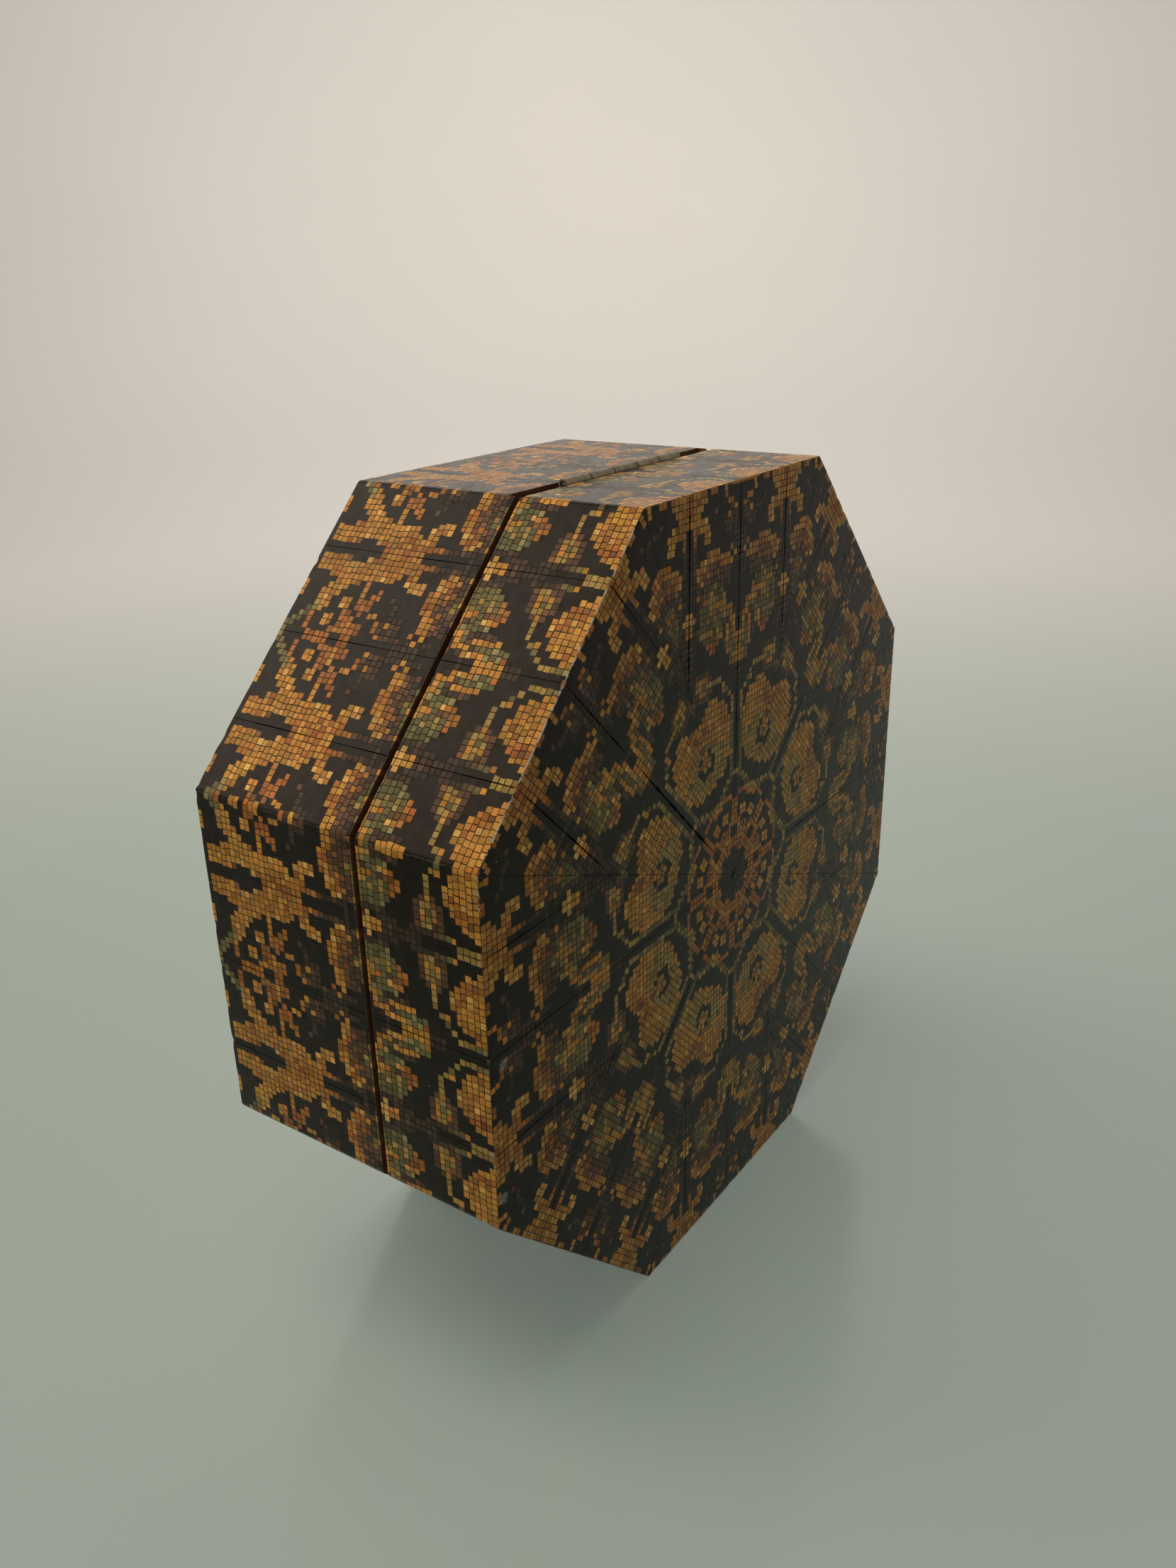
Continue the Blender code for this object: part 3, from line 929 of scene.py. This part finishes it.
def screw(name, x, z, into, slot_turn):
    """A countersunk wood screw with a sawn slot."""
    profile = [
        (0, 0),
        (SCREW_HEAD_RADIUS * 0.93, 0),
        (SCREW_HEAD_RADIUS, -0.05 * MM),
        (SHANK_RADIUS, -HEAD_DEPTH),
        (SHANK_RADIUS, -HEAD_DEPTH - 1.6 * MM),
        (SHANK_RADIUS * 0.55, -HEAD_DEPTH - 2.7 * MM),
        (0, -HEAD_DEPTH - 3.0 * MM),
    ]
    near = HINGE_Y + into * KNUCKLE_GAP / 2
    place = Matrix.Translation((x, near, z)) @ head_towards(into)
    made = turned(name, profile, place)
    slot = block_between("slot", (-2 * MM, -0.14 * MM, -0.25 * MM), (2 * MM, 0.14 * MM, MM))
    slot.data.transform(place @ Matrix.Rotation(slot_turn, 4, "Z"))
    return boolean(made, "DIFFERENCE", [slot])


def hinge_pin():
    half = (HINGE_LENGTH - KNUCKLE_GAP) / 2
    dome = 0.12 * MM
    profile = [
        (0, -half),
        (PIN_RADIUS * 0.7, -half + dome * 0.3),
        (PIN_RADIUS, -half + dome),
        (PIN_RADIUS, half - dome),
        (PIN_RADIUS * 0.7, half - dome * 0.3),
        (0, half),
    ]
    return turned("hinge_pin_dressed", profile, Matrix.Translation((0, HINGE_Y, HINGE_Z)) @ ALONG_X, 20)


# Materials

GLUE_COLOUR = (0.010, 0.006, 0.003)
JOINT_COLOUR = (0.003, 0.002, 0.002)
CUT_COLOUR = (0.12, 0.052, 0.024)
# Pale colour of worn varnish on rubbed arrises and of the painted highlight along the lid's front arris; also the
# trays' scuffs
WORN_AND_GLINT_COLOUR = (0.62, 0.55, 0.46)
BARE_COLOUR = (0.34, 0.15, 0.05)
SCUFF_COLOUR = (0.36, 0.37, 0.36)
DUST_COLOUR = (0.62, 0.60, 0.56)
AMBER_TINT = (1.0, 0.82, 0.58)
FLOOR_NEAR = (174, 189, 178)
FLOOR_FAR = (205, 203, 198)
FLOOR_GLOW = 0.25
FLOOR_SHARE = 0.64
FLOOR_IOR = 1.75


class Nodes:
    """Adds nodes to a new material and links them as it goes."""

    def __init__(self, name):
        self.material = bpy.data.materials.new(name)
        self.material.use_nodes = True
        self.tree = self.material.node_tree
        self.shader = self.tree.nodes["Principled BSDF"]

    def put(self, kind, inputs=(), **settings):
        node = self.tree.nodes.new(kind)
        for key, value in settings.items():
            setattr(node, key, value)
        for key, value in dict(inputs).items():
            if isinstance(value, bpy.types.NodeSocket):
                self.tree.links.new(value, node.inputs[key])
            else:
                node.inputs[key].default_value = value
        return node

    def math(self, operation, first, second=0.0, third=0.0, clamp=False):
        inputs = {0: first, 1: second, 2: third}
        return self.put("ShaderNodeMath", inputs, operation=operation, use_clamp=clamp).outputs[0]

    def spread(self, value, low, high, to_low=0.0, to_high=1.0):
        inputs = {"Value": value, "From Min": low, "From Max": high, "To Min": to_low, "To Max": to_high}
        return self.put("ShaderNodeMapRange", inputs).outputs[0]

    def attribute(self, name):
        return self.put("ShaderNodeAttribute", attribute_name=name)

    def object_mm(self):
        where = self.put("ShaderNodeTexCoord").outputs["Object"]
        return self.scaled(where, (1 / MM,) * 3)

    def scaled(self, vector, scale):
        return self.put("ShaderNodeMapping", {"Vector": vector, "Scale": scale}).outputs[0]

    def noise(self, vector, scale, detail=3.0, roughness=0.55):
        inputs = {"Vector": vector, "Scale": scale, "Detail": detail, "Roughness": roughness}
        return self.put("ShaderNodeTexNoise", inputs).outputs[0]

    def mix(self, factor, first, second, blend="MIX"):
        node = self.put("ShaderNodeMix", data_type="RGBA", blend_type=blend, clamp_factor=True)
        for key, value in ((0, factor), (6, first), (7, second)):
            if isinstance(value, bpy.types.NodeSocket):
                self.tree.links.new(value, node.inputs[key])
            else:
                node.inputs[key].default_value = (*value, 1) if key else value
        return node.outputs[2]

    def brighten(self, colour, factor):
        scaled = self.put("ShaderNodeVectorMath", {0: colour}, operation="SCALE")
        if isinstance(factor, bpy.types.NodeSocket):
            self.tree.links.new(factor, scaled.inputs["Scale"])
        else:
            scaled.inputs["Scale"].default_value = factor
        return scaled.outputs[0]

    def bump(self, height, strength, distance):
        inputs = {"Height": height, "Strength": strength, "Distance": distance}
        return self.put("ShaderNodeBump", inputs).outputs[0]

    def finish(self, colour, roughness, normal):
        self.tree.links.new(colour, self.shader.inputs["Base Color"])
        self.tree.links.new(roughness, self.shader.inputs["Roughness"])
        self.tree.links.new(normal, self.shader.inputs["Normal"])
        return self.material


def mosaic_material():
    """Varnished end grain: its own tone and streaks in each square, glue lines, wear with a painted highlight on
    rubbed arrises, and dust.
    """
    n = Nodes("mosaic")
    place = n.object_mm()
    wood = n.attribute("wood").outputs["Vector"]
    lot = n.put("ShaderNodeSeparateXYZ", {0: n.attribute("lot").outputs["Vector"]})
    tone, turn, part = lot.outputs
    rim = n.put("ShaderNodeSeparateXYZ", {0: n.attribute("rim").outputs["Vector"]})
    distance, rub_and_glint, chipped = rim.outputs

    plan = n.put("ShaderNodeUVMap", uv_map="plan").outputs[0]
    angle = n.math("MULTIPLY", turn, 6.28)
    spun = n.put("ShaderNodeVectorRotate", {"Vector": plan, "Angle": angle}, rotation_type="Z_AXIS").outputs[0]
    streak = n.noise(n.scaled(spun, (1.1, 7.5, 1.0)), 1.0, 3.0, 0.6)
    pores = n.noise(n.scaled(plan, (1, 1, 1)), 11.0, 2.0, 0.6)
    patina = n.noise(place, 0.045, 3.0)

    light = n.spread(tone, 0, 1, 0.72, 1.3)
    light = n.math("MULTIPLY", light, n.spread(streak, 0.3, 0.75, 0.66, 1.48))
    light = n.math("MULTIPLY", light, n.spread(pores, 0.3, 0.7, 0.88, 1.1))
    light = n.math("MULTIPLY", light, n.spread(patina, 0.3, 0.7, 0.82, 1.08))
    colour = n.brighten(wood, light)
    hue = n.spread(turn, 0, 1, 0.492, 0.51)
    colour = n.put("ShaderNodeHueSaturation", {"Hue": hue, "Saturation": 1.0, "Color": colour}).outputs[0]

    is_glue = n.math("MULTIPLY", n.math("GREATER_THAN", part, 0.5), n.math("LESS_THAN", part, 1.5))
    is_joint = n.math("MULTIPLY", n.math("GREATER_THAN", part, 1.5), n.math("LESS_THAN", part, 2.5))
    is_wall = n.math("GREATER_THAN", part, 2.5)
    grime = n.spread(n.noise(place, 0.7, 2.0), 0.35, 0.65, 0.78, 1.0)
    colour = n.mix(n.math("MULTIPLY", is_glue, grime), colour, GLUE_COLOUR)
    colour = n.mix(n.math("MULTIPLY", is_joint, 0.92), colour, JOINT_COLOUR)
    colour = n.mix(n.math("MULTIPLY", is_wall, 0.85), colour, CUT_COLOUR)

    nibble = n.noise(place, 1.6, 4.0, 0.7)
    # Rubbed arrises turn pale: worn varnish, and partly a painted highlight along the lid's front arris
    worn_and_glint = n.math("MULTIPLY", n.spread(distance, 0.10, 0.22, 1.0, 0.0), n.spread(nibble, 0.42, 0.5))
    worn_and_glint = n.math("MULTIPLY", worn_and_glint, rub_and_glint)
    colour = n.mix(n.math("MULTIPLY", worn_and_glint, 0.8), colour, WORN_AND_GLINT_COLOUR)
    bare = n.math("MULTIPLY", n.spread(chipped, 0.35, 0.6), n.spread(distance, 0.25, 0.5, 1.0, 0.0))
    colour = n.mix(n.math("MULTIPLY", bare, 0.8), colour, BARE_COLOUR)

    for middle, radius in SCUFFS:
        away = n.put("ShaderNodeVectorMath", {0: place, 1: middle}, operation="DISTANCE").outputs["Value"]
        scuff = n.spread(n.math("ADD", away, n.spread(nibble, 0.3, 0.7, -0.5, 0.5)), radius * 0.6, radius, 0.6, 0.0)
        colour = n.mix(n.math("MULTIPLY", scuff, n.spread(streak, 0.4, 0.55)), colour, SCUFF_COLOUR)

    speck = n.put("ShaderNodeTexVoronoi", {"Vector": place, "Scale": 0.24})
    dust = n.math("LESS_THAN", speck.outputs["Distance"], 0.022)
    colour = n.mix(n.math("MULTIPLY", dust, 0.8), colour, DUST_COLOUR)

    satin = n.noise(place, 0.5, 4.0, 0.6)
    roughness = n.spread(satin, 0.3, 0.7, 0.25, 0.38)
    dull = n.math("ADD", n.math("MULTIPLY", is_glue, 0.25), n.math("MULTIPLY", bare, 0.3))
    roughness = n.math("ADD", roughness, dull, clamp=True)

    swell = n.noise(place, 0.55, 2.0)
    height = n.math("ADD", n.math("MULTIPLY", streak, 0.35), n.math("MULTIPLY", pores, 0.2))
    height = n.math("ADD", height, n.math("MULTIPLY", swell, 1.1))
    n.shader.inputs["Specular IOR Level"].default_value = 0.1
    n.shader.inputs["Specular Tint"].default_value = (*AMBER_TINT, 1)
    n.shader.inputs["Coat Weight"].default_value = 0.5
    n.shader.inputs["Coat Roughness"].default_value = 0.22
    n.shader.inputs["Coat IOR"].default_value = 1.15
    return n.finish(colour, roughness, n.bump(height, 0.35, 0.05 * MM))


def plank_material(name, dark, light, shine):
    """Long-grained wood. The grain follows each board by the attribute that grain_map stores."""
    n = Nodes(name)
    board = n.attribute("grain").outputs["Vector"]
    waver = n.noise(n.scaled(board, (0.018, 0.05, 0.05)), 1.0, 2.0)
    bent = n.put("ShaderNodeVectorMath", {0: board, 1: n.brighten(waver, 9.0)}, operation="ADD").outputs[0]
    bands = n.noise(n.scaled(bent, (0.012, 0.42, 0.42)), 1.0, 4.0, 0.6)
    fibre = n.noise(n.scaled(board, (0.09, 3.4, 3.4)), 1.0, 3.0, 0.65)
    pore = n.noise(n.scaled(board, (0.35, 9.0, 9.0)), 1.0, 2.0, 0.5)
    colour = n.mix(n.spread(bands, 0.34, 0.66), dark, light)
    tone = n.math("MULTIPLY", n.spread(fibre, 0.3, 0.7, 0.74, 1.2), n.spread(pore, 0.62, 0.70, 1.0, 0.45))
    place = n.object_mm()
    tone = n.math("MULTIPLY", tone, n.spread(n.noise(place, 0.05, 3.0), 0.3, 0.7, 0.86, 1.08))
    colour = n.brighten(colour, tone)
    scuff = n.spread(n.noise(n.scaled(place, (0.5, 0.5, 2.2)), 0.9, 5.0, 0.7), 0.66, 0.74)
    colour = n.mix(n.math("MULTIPLY", scuff, 0.10), colour, WORN_AND_GLINT_COLOUR)
    roughness = n.spread(fibre, 0.3, 0.7, shine, shine + 0.14)
    height = n.math("SUBTRACT", n.math("MULTIPLY", fibre, 0.5), n.spread(pore, 0.62, 0.7))
    return n.finish(colour, roughness, n.bump(height, 0.35, 0.05 * MM))


def brass_material():
    """Old brass, brown and brighter in broad random patches, with small dark spots."""
    n = Nodes("old_brass")
    place = n.object_mm()
    cloud = n.noise(place, 0.55, 5.0, 0.65)
    fine = n.noise(n.scaled(place, (0.8, 9.0, 9.0)), 1.0, 3.0, 0.6)
    colour = n.mix(n.spread(cloud, 0.35, 0.65), (0.31, 0.262, 0.185), (0.50, 0.43, 0.31))
    colour = n.brighten(colour, n.spread(fine, 0.3, 0.7, 0.88, 1.1))
    spots = n.spread(n.noise(place, 2.2, 3.0, 0.7), 0.66, 0.76)
    colour = n.mix(n.math("MULTIPLY", spots, 0.6), colour, (0.05, 0.04, 0.03))
    roughness = n.spread(cloud, 0.35, 0.65, 0.5, 0.38)
    n.shader.inputs["Metallic"].default_value = 0.8
    return n.finish(colour, roughness, n.bump(n.math("ADD", fine, spots), 0.25, 0.03 * MM))


def floor_material():
    """Pale glossy floor that glows a little, as glass over white does. It is whiter away from
    the box, and matte and white where it turns up into the wall."""
    n = Nodes("pale_floor")
    place = n.object_mm()
    height = n.put("ShaderNodeSeparateXYZ", {0: place}).outputs[2]
    away = n.put("ShaderNodeVectorMath", {0: place}, operation="LENGTH").outputs["Value"]
    colour = n.mix(n.spread(away, 200, 520), linear(FLOOR_NEAR), linear(FLOOR_FAR))
    cloud = n.noise(place, 0.004, 3.0)
    colour = n.brighten(colour, n.spread(cloud, 0.3, 0.7, 0.985, 1.015))
    n.tree.links.new(n.brighten(colour, FLOOR_GLOW), n.shader.inputs["Emission Color"])
    n.shader.inputs["Emission Strength"].default_value = 1.0
    colour = n.brighten(colour, FLOOR_SHARE)
    n.shader.inputs["IOR"].default_value = FLOOR_IOR
    n.material.cycles.emission_sampling = "NONE"
    gloss = n.spread(height, 2, 60, 0.18, 0.8)
    return n.finish(colour, gloss, n.bump(n.noise(place, 0.8, 2.0), 0.02, 0.02 * MM))


# The object

# Cracks along the lid's block joints: line, first and last row from the centre, half width
FACE_CRACKS = {
    "top_left": ((0, 10, 40, 0.13 * MM), (0, 44, 64, 0.07 * MM), (15, 38, 64, 0.07 * MM), (-15, 56, 66, 0.10 * MM)),
    "top": ((0, 20, 65, 0.09 * MM), (15, 36, 66, 0.12 * MM), (-15, 38, 66, 0.10 * MM)),
    "left": ((0, 46, 60, 0.05 * MM), (15, 46, 64, 0.07 * MM), (-15, 50, 64, 0.05 * MM)),
    "right": ((0, 20, 45, 0.06 * MM),),
    "bottom": ((-15, 42, 60, 0.06 * MM),),
}

# Worn stretches of the lid's front arris, painted paler both as worn varnish and as a painted highlight where the
# arris catches light: from and to along the facet, and how rubbed
RUBBED_AND_GLINTING = {
    "top_left": ((-23.5 * MM, 24 * MM, 1.0),),
    "left": ((-26 * MM, -21 * MM, 0.7), (14 * MM, 17 * MM, 0.8)),
}
CORNER_RUB = 0.08
SEAM_RUB = 0.12

# Pieces broken out of that arris: middle along the facet, half length, depth in arris radii
BROKEN = {
    "top": ((-1.2 * MM, 6.0 * MM, 1.1), (14.65 * MM, 0.9 * MM, 0.8)),
    "top_left": ((-14.65 * MM, 0.9 * MM, 1.3), (0.2 * MM, 0.8 * MM, 0.9), (14.65 * MM, 0.8 * MM, 0.8)),
    "left": ((-14.65 * MM, 0.8 * MM, 0.8), (0.0, 0.7 * MM, 0.6), (15.4 * MM, 1.0 * MM, 1.2)),
}
LID_SEED = 77

# Scuffs on the lid's face, in millimetres: middle, radius
SCUFFS = (
    ((-60.7, -25.4, 61.7), 0.9),
    ((-62.0, -25.4, 41.4), 1.0),
)

MOSAIC = mosaic_material()
TRAY_WOOD = plank_material("rosewood", (0.030, 0.012, 0.006), (0.105, 0.042, 0.019), 0.42)
BRASS = brass_material()


def dress(obj, body, slot, material, *nodes):
    """Files a piece: its material, the body it rides on, and the CAD nodes it stands for."""
    obj.data.materials.clear()
    obj.data.materials.append(material)
    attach(obj, body)
    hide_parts(*nodes)
    return obj


for index, facet in enumerate(FACETS):
    by_hinge = facet == "top"
    base_front = BASE_GROOVE_Y if by_hinge else BASE_RIM_Y
    lid_back = LID_GROOVE_Y if by_hinge else LID_RIM_Y
    lid_offset = SEAM_ROW - (BACK_Y - LID_RIM_Y) / TESSERA
    base_side = side_panel(
        f"base_inlay_{facet}",
        index,
        100 + index,
        base_front,
        BACK_Y,
        RIM_ARRIS,
        BACK_ARRIS,
        lambda row: row,
        mitred=False,
    )
    dress(base_side, "base", "side_mosaic", MOSAIC, f"base_mosaic_{facet}")
    lid_side = side_panel(
        f"lid_inlay_{facet}",
        index,
        200 + index,
        LID_FACE_Y,
        lid_back,
        FACE_ARRIS,
        RIM_ARRIS,
        lambda row: np.maximum(row + lid_offset, SEAM_ROW),
        mitred=True,
    )
    dress(lid_side, "lid", "side_mosaic", MOSAIC, f"lid_mosaic_{facet}")
    face = face_panel(f"lid_top_{facet}", index, 300 + index, FACE_CRACKS.get(facet, ()))
    dress(face, "lid", "lid_face_mosaic", MOSAIC, f"lid_face_{facet}")

base_tray = tray("base_tray", tray_profile(BACK_Y, BASE_RIM_Y, BACK_Y - BOARD))
lid_closed_y = LID_FACE_Y + MOSAIC_DEPTH + 0.05 * MM
lid_tray = tray("lid_tray", tray_profile(lid_closed_y, LID_RIM_Y, lid_closed_y + BOARD))
for made, rim_y, into in ((base_tray, BASE_RIM_Y, 1), (lid_tray, LID_RIM_Y, -1)):
    half = HINGE_LENGTH / 2 + 0.05 * MM
    bed = HINGE_Y + into * (KNUCKLE_GAP / 2 + LEAF_THICKNESS)
    low_y, high_y = sorted((bed, rim_y - into * MM))
    bottom = HINGE_Z - LEAF_TOP - LEAF_WIDTH - 0.05 * MM
    recess = block_between("leaf_recess", (-half, low_y, bottom), (half, high_y, HINGE_Z + MM))
    boolean(made, "DIFFERENCE", [recess])
grain_map(base_tray.data, 1, BACK_Y - BOARD)
grain_map(lid_tray.data, -1, lid_closed_y + BOARD)
dress(base_tray, "base", "carcase_wood", TRAY_WOOD, "base_carcase")
dress(lid_tray, "lid", "carcase_wood", TRAY_WOOD, "lid_carcase")

dress(hinge_leaf("hinge_base", 0, 1), "base", "hinge_brass", BRASS, "hinge_leaf_base")
dress(hinge_leaf("hinge_lid", 1, -1), "lid", "hinge_brass", BRASS, "hinge_leaf_lid")
dress(hinge_pin(), "base", "hinge_brass", BRASS, "hinge_pin")
for number, (x, z) in enumerate(SCREW_PLACES, 1):
    turn = 0.5 + 1.1 * number
    dress(screw(f"screw_base_{number}", x, z, 1, turn), "base", "hinge_brass", BRASS, f"hinge_screw_base_{number}")
    dress(screw(f"screw_lid_{number}", x, z, -1, -turn), "lid", "hinge_brass", BRASS, f"hinge_screw_lid_{number}")


# Floor, light and camera

WARM = (1.0, 0.91, 0.82)


def studio():
    """A pale floor that curves up into a plain wall all round."""
    radius, cove, height, segments = 1.1, 0.5, 1.7, 96
    profile = [(0.0, 0.0), (radius - cove, 0.0)]
    for k in range(1, 17):
        angle = math.pi / 2 * k / 16
        profile.append((radius - cove + cove * math.sin(angle), cove - cove * math.cos(angle)))
    profile.append((radius, height))
    bm = bmesh.new()
    centre = bm.verts.new((0, 0, FLOOR_LEVEL))
    rings = []
    for distance, level in profile[1:]:
        ring = []
        for k in range(segments):
            angle = 2 * math.pi * k / segments
            spot = (distance * math.cos(angle), distance * math.sin(angle), level + FLOOR_LEVEL)
            ring.append(bm.verts.new(spot))
        rings.append(ring)
    for k in range(segments):
        bm.faces.new((centre, rings[0][k], rings[0][(k + 1) % segments]))
    for low, high in zip(rings, rings[1:]):
        for k in range(segments):
            n = (k + 1) % segments
            bm.faces.new((low[k], high[k], high[n], low[n]))
    bmesh.ops.recalc_face_normals(bm, faces=bm.faces)
    room = link_mesh("floor", bm)
    room.data.shade_smooth()
    room.data.materials.append(floor_material())


def area_light(name, place, target, size, power, spread, mirrored=False):
    """Round soft light. Only a mirrored one shows as a gleam in varnish and on the floor."""
    light = bpy.data.lights.new(name, "AREA")
    light.shape = "DISK"
    light.size = size
    light.energy = power
    light.color = WARM
    light.spread = math.radians(spread)
    obj = bpy.data.objects.new(name, light)
    obj.location = place
    obj.rotation_euler = (Vector(target) - Vector(place)).to_track_quat("-Z", "Y").to_euler()
    obj.visible_glossy = mirrored
    bpy.context.scene.collection.objects.link(obj)


studio()
area_light("key", (-0.23, 0.11, 1.05), CENTRE, 0.8, 1.88, 100)
area_light("sheen", (-0.32, 0.75, 0.86), CENTRE, 0.8, 0.45, 60, mirrored=True)
area_light("wall", (0.35, 0.25, 1.40), (1.0, 0.70, 0.15), 0.8, 5.80, 80)

world = bpy.data.worlds.new("studio")
world.use_nodes = True
world.node_tree.nodes["Background"].inputs["Color"].default_value = (*WARM, 1)
world.node_tree.nodes["Background"].inputs["Strength"].default_value = 0.03
bpy.context.scene.world = world
bpy.context.scene.view_settings.view_transform = "Standard"

camera_data = bpy.data.cameras.new("camera")
camera_data.sensor_fit = "AUTO"
camera_data.sensor_width = 36
camera_data.lens = 29.46
camera_data.clip_start = 0.01
camera = bpy.data.objects.new("camera", camera_data)
right, up, forward = (
    Vector((0.5694, -0.8217, -0.0231)),
    Vector((0.3221, 0.1972, 0.9259)),
    Vector((0.7563, 0.5347, -0.3770)),
)
facing = Matrix((right, up, -forward)).transposed().to_4x4()
camera.matrix_world = Matrix.Translation((-0.1671, -0.1150, 0.1566)) @ facing
bpy.context.scene.collection.objects.link(camera)
bpy.context.scene.camera = camera
